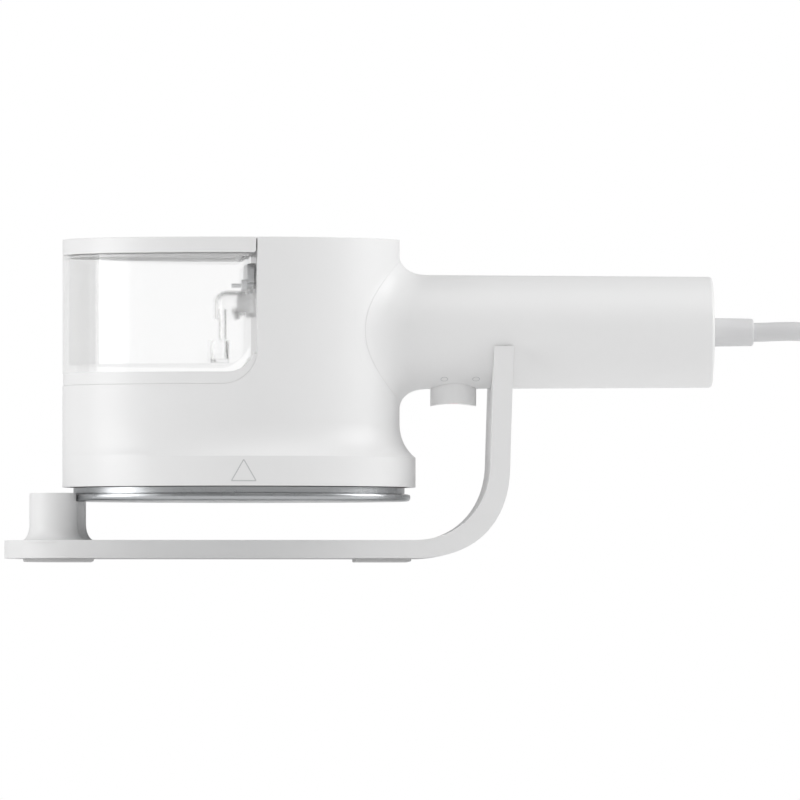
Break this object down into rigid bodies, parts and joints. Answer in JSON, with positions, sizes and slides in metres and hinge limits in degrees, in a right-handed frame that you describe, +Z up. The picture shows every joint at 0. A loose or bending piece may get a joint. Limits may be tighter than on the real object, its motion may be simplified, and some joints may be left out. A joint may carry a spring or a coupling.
{
  "type": "garment steamer",
  "caption": "Corded garment steamer with an oval steam head, clear water tank and round handle, resting on a J-shaped stand.",
  "frame": {"origin": "on the floor, at the middle of the steamer and stand without the free cord", "axes": "+X along the handle towards the cord, +Y towards the back, +Z up"},
  "size_m": [0.4898, 0.1043, 0.1287],
  "materials": {
    "white_abs": "satin moulded white",
    "stand_abs": "fine matt white",
    "clear_san": "polished clear plastic",
    "plate_steel": "satin",
    "screw_steel": "zinc plated",
    "cast_aluminium": "as cast",
    "brass": "plain brass",
    "foot_rubber": "matt",
    "grey_silicone": "matt",
    "red_silicone": "matt",
    "heat_resin": "matt",
    "black_resin": "satin",
    "circuit_board": "solder mask",
    "cable_pvc": "matt light grey"
  },
  "bodies": {
    "stand": {"stand_frame": "stand_abs", "foot_left": "foot_rubber", "foot_right": "foot_rubber", "cord_coil": "cable_pvc", "cord_tie": "foot_rubber", "plug_body": "cable_pvc", "plug_pin_1": "brass", "plug_pin_2": "brass"},
    "steamer": {"steam_plate": "plate_steel", "boiler_casting": "cast_aluminium", "boiler_cover": "cast_aluminium", "heater_element": "plate_steel", "boiler_inlet": "brass", "thermostat": "black_resin", "thermal_fuse": "brass", "boiler_screw_1": "screw_steel", "boiler_screw_2": "screw_steel", "boiler_screw_3": "screw_steel", "boiler_screw_4": "screw_steel", "heat_seal": "red_silicone", "head_housing": "white_abs", "tank_cradle": "white_abs", "chassis_plate": "heat_resin", "inlet_spigot": "heat_resin", "inlet_hose": "grey_silicone", "pump": "black_resin", "pump_mount": "foot_rubber", "feed_hose": "grey_silicone", "handle_front": "white_abs", "handle_back": "white_abs", "handle_screw_1": "screw_steel", "handle_screw_2": "screw_steel", "handle_screw_3": "screw_steel", "strain_relief": "cable_pvc", "button_guide": "white_abs", "switch_bracket": "heat_resin", "microswitch": "black_resin", "control_board": "circuit_board", "wire_connector": "white_abs", "relay": "black_resin", "mains_terminal": "heat_resin", "inner_lead": "cable_pvc", "cord_clamp": "heat_resin", "heater_wire_1": "red_silicone", "heater_wire_2": "red_silicone", "cord_run": "cable_pvc"},
    "tank": {"water_tank": "clear_san", "tank_lid": "white_abs", "lid_seal": "grey_silicone", "fill_plug": "grey_silicone", "vent_valve": "grey_silicone", "outlet_seal": "grey_silicone", "suction_elbow": "white_abs", "intake_tube": "clear_san", "intake_filter": "grey_silicone"},
    "trigger": {"trigger_button": "white_abs", "led": "red_silicone", "trigger_spring": "screw_steel"}
  },
  "joints": [
    {"name": "lift", "type": "slide", "parent": "stand", "child": "steamer", "axis": [0, 0, 1], "range_m": [0, 0.07]},
    {"name": "tank_slide", "type": "slide", "parent": "steamer", "child": "tank", "axis": [-1, 0, 0], "range_m": [0, 0.09]},
    {"name": "trigger_press", "type": "slide", "parent": "steamer", "child": "trigger", "axis": [0, 0, 1], "range_m": [0, 0.003], "stiffness_N_per_m": 400, "springref_m": -0.003, "deforming": ["trigger_spring"]}
  ]
}
